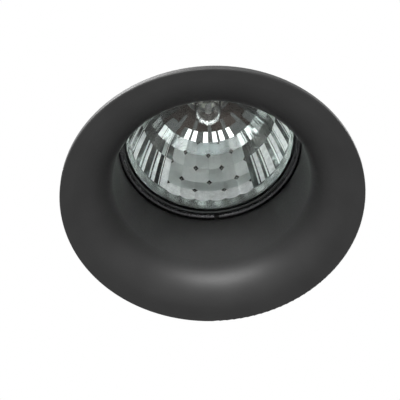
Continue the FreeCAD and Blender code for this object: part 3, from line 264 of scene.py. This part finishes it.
def striped_lead():
    """Green insulation with two yellow stripes along its length."""
    made, tree, shader = material("lead_green_yellow")
    split = node(tree, "ShaderNodeSeparateXYZ", {"Vector": place(tree)})
    side = math_node(tree, "ABSOLUTE", split.outputs["X"])
    stripe = math_node(tree, "LESS_THAN", side, 0.00042)
    green, yellow = (0.08, 0.33, 0.07, 1), (0.80, 0.62, 0.05, 1)
    connect(tree, ramp(tree, stripe, ((0.4, green), (0.6, yellow))), shader.inputs["Base Color"])
    grain = noise(tree, 2200.0, 3.0, 0.6)
    connect(tree, spread(tree, grain, 0.3, 0.7, 0.32, 0.44), shader.inputs["Roughness"])
    connect(tree, bump(tree, grain, 0.00001, 0.6), shader.inputs["Normal"])
    return made


GREEN = striped_lead()

NODE_MATERIALS = {
    BEZEL_BLACK: ["bezel"],
    RING_BLACK: ["retaining_ring"],
    COVER: ["lamp_cover_glass"],
    QUARTZ: ["lamp_capsule"],
    TUNGSTEN: ["lamp_filament", "filament_posts", "lamp_lead_wires"],
    CEMENT: ["lamp_cement"],
    BASE_CERAMIC: ["lamp_base"],
    PINS: ["lamp_pins", "clip_pin_right", "clip_pin_left"],
    HOLDER_CERAMIC: ["lampholder_body", "lampholder_cover"],
    BRASS: ["lampholder_contacts", "terminal_barrels"],
    ZINC: ["lampholder_screws", "lampholder_nuts", "lamp_bracket", "bracket_screws", "terminal_screws",
           "terminal_fixings", "earth_screw", "earth_nut", "earth_tag", "clip_arm_right", "clip_arm_left"],
    SPRING: ["clip_spring_right", "clip_spring_left"],
    NYLON: ["terminal_block"],
    BROWN: ["lead_live"],
    BLUE: ["lead_neutral"],
    GREEN: ["lead_earth"],
    RUBBER: ["clip_pad_right", "clip_pad_left"],
    GLASS_RIM: ["lamp_reflector"],
}
for finish, names in NODE_MATERIALS.items():
    for name in names:
        mesh = frame["nodes"][name].data
        mesh.materials.clear()
        mesh.materials.append(finish)

# ---------------------------------------------------------------- objects


def scene_object(name, data):
    """An object for a mesh, light or camera, linked into the scene."""
    made = bpy.data.objects.new(name, data)
    scene.collection.objects.link(made)
    return made


# ---------------------------------------------------------------- the lamp's faceted bowl

# depths and radii in millimetres, depths from the lamp's front
LAMP_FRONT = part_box("lamp_reflector")[0].z / MM
# the seed that spreads painted reflection tones over the facets and widths over the painted highlight
# streaks
FACET_SEED = 11
COLUMNS = 32
COLUMN_STEP = 360.0 / COLUMNS
FIRST_COLUMN = 91.2
MOUTH = (24.0, 1.15)
KNEE = (18.9, 19.5)
SIDE_CURVE, FLOOR_CURVE = 100.0, 12.0
BAND_MIDDLE = 2.9
BAND_TOP = 4.8
SCALLOP_RISE = 0.9
SCALLOP_STEPS = 6
FACET_ROWS = (BAND_TOP, 8.1, 11.3, 16.4, 21.0, 24.2)
FLUTE_END = (12.4, 25.3)
BARE_EDGE = (9.4, 26.3)
NECK_EDGE = (7.0, 27.0)
# the pressed columns at the sides have a broad mottled painted highlight streak and a thin painted
# highlight, as shares
BROAD_STREAK = (0.26, 0.62)
STREAK_GAP = (0.05, 0.16)
THIN_STREAK = (0.04, 0.14)
# the side columns are those whose direction lies this far out along x; their painted highlight
# streaks break up from this row on
SIDE_REACH = 0.55
BROKEN_FROM = 3
# the coat stands this far off the glass; a pit takes this share of a facet's edge and is this deep
COAT = 0.12
CHIP = 0.21
CHIP_SINK = 0.22
# welding distance, and how much the facets' inward side also points at the mouth, in metres
WELD = 1e-7
TOWARDS_MOUTH = 0.004
# the coat's tones, copies of one mirror that paint bright and dark reflections, and their material slots in
# the same order
COAT_FINISHES = (MIRROR, BAND_MIRROR, NEAR_BLACK_MIRROR, HIGHLIGHT_STREAK_MIRROR,
                 DARK_REFLECTION_MIRROR, BRIGHT_REFLECTION_MIRROR, DIM_REFLECTION_MIRROR, MID_MIRROR)
(MIRROR_SLOT, BAND_SLOT, NEAR_BLACK_SLOT, HIGHLIGHT_STREAK_SLOT,
 DARK_REFLECTION_SLOT, BRIGHT_REFLECTION_SLOT, DIM_REFLECTION_SLOT, MID_SLOT) = range(len(COAT_FINISHES))
# the rows of facets with a painted reflection tone of their own; the others take theirs from the choice
# below
ROW_SLOTS = {0: HIGHLIGHT_STREAK_SLOT, 1: MID_SLOT, len(FACET_ROWS) - 2: DIM_REFLECTION_SLOT}
# painted reflection tones drawn at random for the facets, the broken side streaks and the flutes
FACET_CHOICE = (BRIGHT_REFLECTION_SLOT, MIRROR_SLOT, MIRROR_SLOT, MID_SLOT)
# a side column's strips: painted highlight, painted dark gap, thin painted highlight, painted dark gap
STREAK_SLOTS = (HIGHLIGHT_STREAK_SLOT, DARK_REFLECTION_SLOT, BRIGHT_REFLECTION_SLOT, DARK_REFLECTION_SLOT)
BROKEN_CHOICE = ((DARK_REFLECTION_SLOT, DIM_REFLECTION_SLOT), (DIM_REFLECTION_SLOT, DARK_REFLECTION_SLOT), (DARK_REFLECTION_SLOT, MID_SLOT))
FLUTE_CHOICE = ((MIRROR_SLOT, DARK_REFLECTION_SLOT, HIGHLIGHT_STREAK_SLOT), (HIGHLIGHT_STREAK_SLOT, DARK_REFLECTION_SLOT),
                (DARK_REFLECTION_SLOT, HIGHLIGHT_STREAK_SLOT, MID_SLOT, DARK_REFLECTION_SLOT), (MID_SLOT, DARK_REFLECTION_SLOT))


def arc_about(start, end, radius):
    """The centre of the bowl's side arc, on the axis's side of its chord."""
    across, rise = end[0] - start[0], end[1] - start[1]
    chord = math.hypot(across, rise)
    back = math.sqrt(radius ** 2 - chord ** 2 / 4)
    return (start[0] + end[0]) / 2 - back * rise / chord, (start[1] + end[1]) / 2 + back * across / chord


SIDE_CENTRE = arc_about(MOUTH, KNEE, SIDE_CURVE)
FLOOR_CENTRE = [k + (c - k) * FLOOR_CURVE / SIDE_CURVE for k, c in zip(KNEE, SIDE_CENTRE)]


def bowl_radius(depth):
    """The radius of the bowl's inner wall at a depth: the side arc, then the floor arc."""
    centre, curve = (SIDE_CENTRE, SIDE_CURVE) if depth <= KNEE[1] else (FLOOR_CENTRE, FLOOR_CURVE)
    return centre[0] + math.sqrt(curve ** 2 - (depth - centre[1]) ** 2)


def bowl_point(radius, depth, degrees):
    """A point of the bowl about the lamp's axis, in the part's metres."""
    turn = math.radians(degrees)
    return Vector((radius * math.cos(turn), radius * math.sin(turn), LAMP_FRONT + depth)) * MM


def column_angle(column):
    return FIRST_COLUMN + column * COLUMN_STEP


def corner(row, column):
    """Where a line between two columns crosses the lower edge of a row."""
    depth = FACET_ROWS[row]
    return bowl_point(bowl_radius(depth) - COAT, depth, column_angle(column))


def add_face(coat, points, slot, smooth=False):
    built = coat.faces.new([coat.verts.new(point) for point in points])
    built.material_index = slot
    built.smooth = smooth


def scalloped_edge(column):
    """The arched lower edge of a column's first facet."""
    low, low_next = corner(0, column), corner(0, column + 1)
    edge = []
    for number in range(SCALLOP_STEPS + 1):
        share = number / SCALLOP_STEPS
        drop = 4 * share * (1 - share) * SCALLOP_RISE * MM
        edge.append(low.lerp(low_next, share) - Vector((0, 0, drop)))
    return edge


def add_band(coat, column, scallop):
    """The smooth band between the bowl's mouth and the scalloped edge."""
    for number in range(SCALLOP_STEPS):
        angles = [column_angle(column + (number + end) / SCALLOP_STEPS) for end in (0, 1)]
        mouth = [bowl_point(MOUTH[0] - COAT, MOUTH[1], angle) for angle in angles]
        middle = [bowl_point(bowl_radius(BAND_MIDDLE) - COAT, BAND_MIDDLE, angle) for angle in angles]
        add_face(coat, (mouth[0], mouth[1], middle[1], middle[0]), BAND_SLOT, True)
        add_face(coat, (middle[0], middle[1], scallop[number + 1], scallop[number]), BAND_SLOT, True)


def add_strips(coat, quad, shares, slots):
    """A facet split along its length into strips, whose edges lie at these shares of its width."""
    for strip, slot in enumerate(slots):
        low = [quad[0].lerp(quad[1], shares[strip + end]) for end in (0, 1)]
        high = [quad[3].lerp(quad[2], shares[strip + end]) for end in (0, 1)]
        add_face(coat, (low[0], low[1], high[1], high[0]), slot)


def add_facet(coat, quad, row, column, scallop, slot):
    """A flat facet, with a shallow pit at every other corner where four facets meet; the pits are
    near-black, painted shade.
    """
    outline = []
    for index, point in enumerate(quad):
        if row == 0 and index < 2:
            continue
        if (row + column + index) % 2:
            outline.append(point)
            continue
        before, after = quad[index - 1], quad[(index + 1) % 4]
        outline += [point.lerp(before, CHIP), point.lerp(after, CHIP)]
        away = Vector((point.x, point.y, 0)).normalized() * CHIP_SINK * MM
        # the pit is near-black: painted shade in the recess
        add_face(coat, (point.lerp(after, CHIP), point.lerp(before, CHIP), point + away), NEAR_BLACK_SLOT)
    if row == 0:
        outline = scallop + outline
    add_face(coat, outline, slot)


def add_flutes(coat, column, flutes):
    """Narrow flutes, painted light and dark reflections by turns, and two bare rings between them and the
    neck, near-black, the first with a painted dark strip in every other column.
    """
    rings = [(bowl_radius(FACET_ROWS[-1]) - COAT, FACET_ROWS[-1]), FLUTE_END, BARE_EDGE, NECK_EDGE]
    bare = (NEAR_BLACK_SLOT, DARK_REFLECTION_SLOT) if column % 2 else (NEAR_BLACK_SLOT,)
    for number, slots in enumerate((flutes, bare, (NEAR_BLACK_SLOT,))):
        for strip, slot in enumerate(slots):
            angles = [column_angle(column + (strip + end) / len(slots)) for end in (0, 1)]
            low = [bowl_point(*rings[number], angle) for angle in angles]
            high = [bowl_point(*rings[number + 1], angle) for angle in angles]
            add_face(coat, (low[0], low[1], high[1], high[0]), slot)


def add_column(coat, column, shares, luck):
    """One of the bowl's columns, from the mouth to the neck."""
    scallop = scalloped_edge(column)
    add_band(coat, column, scallop)
    at_side = abs(math.cos(math.radians(column_angle(column + 0.5)))) > SIDE_REACH
    for row in range(len(FACET_ROWS) - 1):
        quad = [corner(row, column), corner(row, column + 1),
                corner(row + 1, column + 1), corner(row + 1, column)]
        if not at_side:
            # away from the sides a facet takes a painted reflection tone, by row or at random
            slot = ROW_SLOTS[row] if row in ROW_SLOTS else luck.choice(FACET_CHOICE)
            add_facet(coat, quad, row, column, scallop, slot)
        # at the sides: painted highlight streaks, breaking up further in into painted dark and dim strips
        elif row < BROKEN_FROM:
            add_strips(coat, quad, shares, STREAK_SLOTS)
        else:
            add_strips(coat, quad, shares, luck.choice(BROKEN_CHOICE) * 2)
    # flute tones drawn at random: painted light and dark reflections by turns
    flutes = luck.choice(FLUTE_CHOICE)
    # the side columns' flutes are near-black and painted dark reflections
    if at_side:
        flutes = (NEAR_BLACK_SLOT, DARK_REFLECTION_SLOT) if column % 2 else (DARK_REFLECTION_SLOT,)
    add_flutes(coat, column, flutes)


def face_inwards(coat):
    for built in coat.faces:
        centre = built.calc_center_median()
        inward = Vector((-centre.x, -centre.y, -TOWARDS_MOUTH))
        if built.normal.dot(inward) < 0:
            built.normal_flip()


def faceted_bowl():
    """The mirror coat: a plain band, rows of flat facets with pits, painted highlight streaks at the sides,
    and flutes, all in painted reflection tones.
    """
    coat = bmesh.new()
    luck = random.Random(FACET_SEED)
    streak_shares = []
    for _ in range(COLUMNS):
        bright = luck.uniform(*BROAD_STREAK)
        gap = luck.uniform(*STREAK_GAP)
        thin = luck.uniform(*THIN_STREAK)
        streak_shares.append((0.0, bright, bright + gap, bright + gap + thin, 1.0))
    for column, shares in enumerate(streak_shares):
        add_column(coat, column, shares, luck)
    bmesh.ops.remove_doubles(coat, verts=coat.verts, dist=WELD)
    face_inwards(coat)
    mesh = bpy.data.meshes.new("bowl_mirror_coat")
    coat.to_mesh(mesh)
    coat.free()
    for finish in COAT_FINISHES:
        mesh.materials.append(finish)
    made = scene_object("bowl_mirror_coat", mesh)
    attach(made, "lamp")
    return made


LAMP_COAT = faceted_bowl()

# ---------------------------------------------------------------- the clips' torsion springs


def winding_spring(side):
    """A copy of the clip's spring in drawn wire, in place of the CAD part, which is hidden; its first leg
    lies on the housing, its last on the arm.
    """
    name = f"clip_spring_{side}"
    source = frame["nodes"][name]
    mesh = source.data.copy()
    mesh.materials.clear()
    mesh.materials.append(SPRING)
    made = scene_object(f"{name}_wire", mesh)
    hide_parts(name)
    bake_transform(made)


winding_spring("right")
winding_spring("left")

# ---------------------------------------------------------------- stage, light and camera

# metres: the backdrop's ring, the pale floor, and the dark cloth's edges
RING_STEPS = 128
SOFFIT_HOLE, SOFFIT_REACH, SOFFIT_HEIGHT = 0.040, 2.5, 0.0002
FLOOR_HALF, FLOOR_HEIGHT = 60.0, -0.45
CLOTH_LEFT, CLOTH_RIGHT, CLOTH_NEAR, CLOTH_FAR, CLOTH_HEIGHT = -0.12, 0.12, 0.19, 0.40, -0.43


def stage_material(name, colour, seen=None):
    """A matt stage surface; seen is its tone to the camera where that is paler."""
    made, tree, shader = material(name)
    path = node(tree, "ShaderNodeLightPath")
    cloud = noise(tree, 3.0, 3.0)
    tone = spread(tree, path.outputs["Is Camera Ray"], 0, 1, colour, seen or colour)
    tone = math_node(tree, "MULTIPLY", tone, spread(tree, cloud, 0.3, 0.7, 0.97, 1.0))
    connect(tree, tone, shader.inputs["Base Color"])
    shader.inputs["Roughness"].default_value = 0.7
    return made


def flat_ring(name, inner, outer, z):
    """A flat annulus about the lamp's axis, its face downwards."""
    turns = [2 * math.pi * i / RING_STEPS for i in range(RING_STEPS)]
    verts = [(radius * math.cos(turn), radius * math.sin(turn), z)
             for radius in (inner, outer) for turn in turns]
    following = [(i + 1) % RING_STEPS for i in range(RING_STEPS)]
    faces = [(i, i + RING_STEPS, after + RING_STEPS, after) for i, after in enumerate(following)]
    mesh = bpy.data.meshes.new(name)
    mesh.from_pydata(verts, [], faces)
    for polygon in mesh.polygons:
        if polygon.normal.z > 0:
            polygon.flip()
    made = scene_object(name, mesh)
    return made


def ceiling_sheet():
    """A white backdrop in the soffit's plane, seen only from below and only by the camera."""
    made = flat_ring("soffit_backdrop", SOFFIT_HOLE, SOFFIT_REACH, SOFFIT_HEIGHT)
    finish = bpy.data.materials.new("soffit_white")
    finish.use_nodes = True
    tree = finish.node_tree
    tree.nodes.clear()
    side = node(tree, "ShaderNodeNewGeometry").outputs["Backfacing"]
    white = node(tree, "ShaderNodeEmission", {"Color": grey(1.0), "Strength": 1.0})
    clear = node(tree, "ShaderNodeBsdfTransparent")
    mix = node(tree, "ShaderNodeMixShader", {0: side, 1: white.outputs[0], 2: clear.outputs[0]})
    node(tree, "ShaderNodeOutputMaterial", {"Surface": mix.outputs[0]})
    made.data.materials.append(finish)
    made.visible_diffuse = False
    made.visible_glossy = False
    made.visible_transmission = False
    made.visible_shadow = False


def flat_sheet(name, left, right, near, far, z, finish):
    """A level rectangle."""
    mesh = bpy.data.meshes.new(name)
    mesh.from_pydata([(left, near, z), (right, near, z), (right, far, z), (left, far, z)], [],
                     [(0, 1, 2, 3)])
    mesh.materials.append(finish)
    made = scene_object(name, mesh)
    return made


def dark_card():
    """A dark cloth that the rim's flat and the cover glass mirror towards the camera."""
    made = flat_sheet("dark_cloth", CLOTH_LEFT, CLOTH_RIGHT, CLOTH_NEAR, CLOTH_FAR, CLOTH_HEIGHT,
                      stage_material("dark_cloth", 0.012))
    made.visible_camera = False
    made.visible_diffuse = False
    made.visible_shadow = False
    made.visible_transmission = False


ceiling_sheet()
flat_sheet("floor", -FLOOR_HALF, FLOOR_HALF, -FLOOR_HALF, FLOOR_HALF, FLOOR_HEIGHT,
           stage_material("floor_pale", 0.52, 0.9))
dark_card()


def world():
    """Soft light from all round, white where the camera or a reflection sees it."""
    made = bpy.data.worlds.new("studio")
    scene.world = made
    made.use_nodes = True
    tree = made.node_tree
    tree.nodes.clear()
    path = node(tree, "ShaderNodeLightPath")
    seen = math_node(tree, "MAXIMUM", path.outputs["Is Camera Ray"], path.outputs["Is Glossy Ray"])
    seen = math_node(tree, "MAXIMUM", seen, path.outputs["Is Transmission Ray"])
    soft = node(tree, "ShaderNodeBackground", {"Color": grey(1.0), "Strength": 0.36})
    white = node(tree, "ShaderNodeBackground", {"Color": grey(1.0), "Strength": 1.0})
    mix = node(tree, "ShaderNodeMixShader", {0: seen, 1: soft.outputs[0], 2: white.outputs[0]})
    node(tree, "ShaderNodeOutputWorld", {"Surface": mix.outputs[0]})


world()


def receivers(name, items):
    """The only pieces that a lamp lights."""
    made = bpy.data.collections.new(name)
    for item in items:
        made.objects.link(item)
    return made


def soft_light(name, at, aim, size, watts, colour=(1.0, 1.0, 1.0), lit=None):
    """An area light that lights every piece, or only those of the collection lit."""
    lamp = bpy.data.lights.new(name, "AREA")
    lamp.color = colour
    lamp.shape = "RECTANGLE"
    lamp.size, lamp.size_y = size
    lamp.energy = watts
    made = scene_object(name, lamp)
    made.location = at
    made.rotation_mode = "QUATERNION"
    made.rotation_quaternion = (Vector(aim) - Vector(at)).to_track_quat("-Z", "Y")
    made.visible_camera = False
    made.light_linking.receiver_collection = lit


# the boxes that sparkle in the bowl leave the black bezel alone, and the face's light the steelwork
SPARKLE = receivers("lit_by_boxes", [LAMP_COAT])
FACE = receivers("lit_from_front", [LAMP_COAT] + [
    frame["nodes"][name] for name in ("bezel", "retaining_ring", "lamp_reflector")
])
soft_light("left_box", (-0.26, -0.17, -0.40), (0, 0, 0.03), (0.12, 0.18), 12.0, lit=SPARKLE)
soft_light("right_box", (0.26, -0.19, -0.40), (0, 0, 0.03), (0.12, 0.18), 12.0, lit=SPARKLE)
soft_light("near_box", (0.0, -0.34, -0.42), (0, 0, 0.03), (0.20, 0.08), 5.0, lit=SPARKLE)
soft_light("far_window", (-0.02, 0.47, -0.38), (0, 0, 0.03), (0.22, 0.09), 3.0, (0.86, 0.94, 1.0), SPARKLE)
soft_light("front_low", (-0.07, -0.88, -0.38), (0, 0, 0.015), (1.00, 0.30), 21.0, lit=FACE)
soft_light("top_key", (-0.6, -0.5, 0.9), (0, 0, 0.05), (0.7, 0.7), 14.0)
soft_light("top_fill", (0.8, 0.5, 0.7), (0, 0, 0.05), (0.7, 0.7), 7.0)


# the camera's place in millimetres, its tilt from straight up and its roll, in degrees
CAMERA_AT = Vector((-3.4, -227.9, -332.5))
CAMERA_TILT = 34.44
CAMERA_ROLL = 2.2
CAMERA_LENS = 135.0


def camera():
    """Below and a little in front of the rim, as the photograph is taken."""
    data = bpy.data.cameras.new("camera")
    data.sensor_width = 36.0
    data.lens = CAMERA_LENS
    data.clip_start, data.clip_end = 0.01, 20.0
    tilt, roll = math.radians(CAMERA_TILT), math.radians(CAMERA_ROLL)
    forward = Vector((0, math.sin(tilt), math.cos(tilt)))
    level_up = Vector((0, -math.cos(tilt), math.sin(tilt)))
    right = math.cos(roll) * Vector((1, 0, 0)) - math.sin(roll) * level_up
    up = math.sin(roll) * Vector((1, 0, 0)) + math.cos(roll) * level_up
    made = scene_object("camera", data)
    turn = Matrix((right, up, -forward)).transposed().to_4x4()
    made.matrix_world = Matrix.Translation(CAMERA_AT * MM) @ turn
    scene.camera = made


camera()
scene.view_settings.view_transform = "Standard"
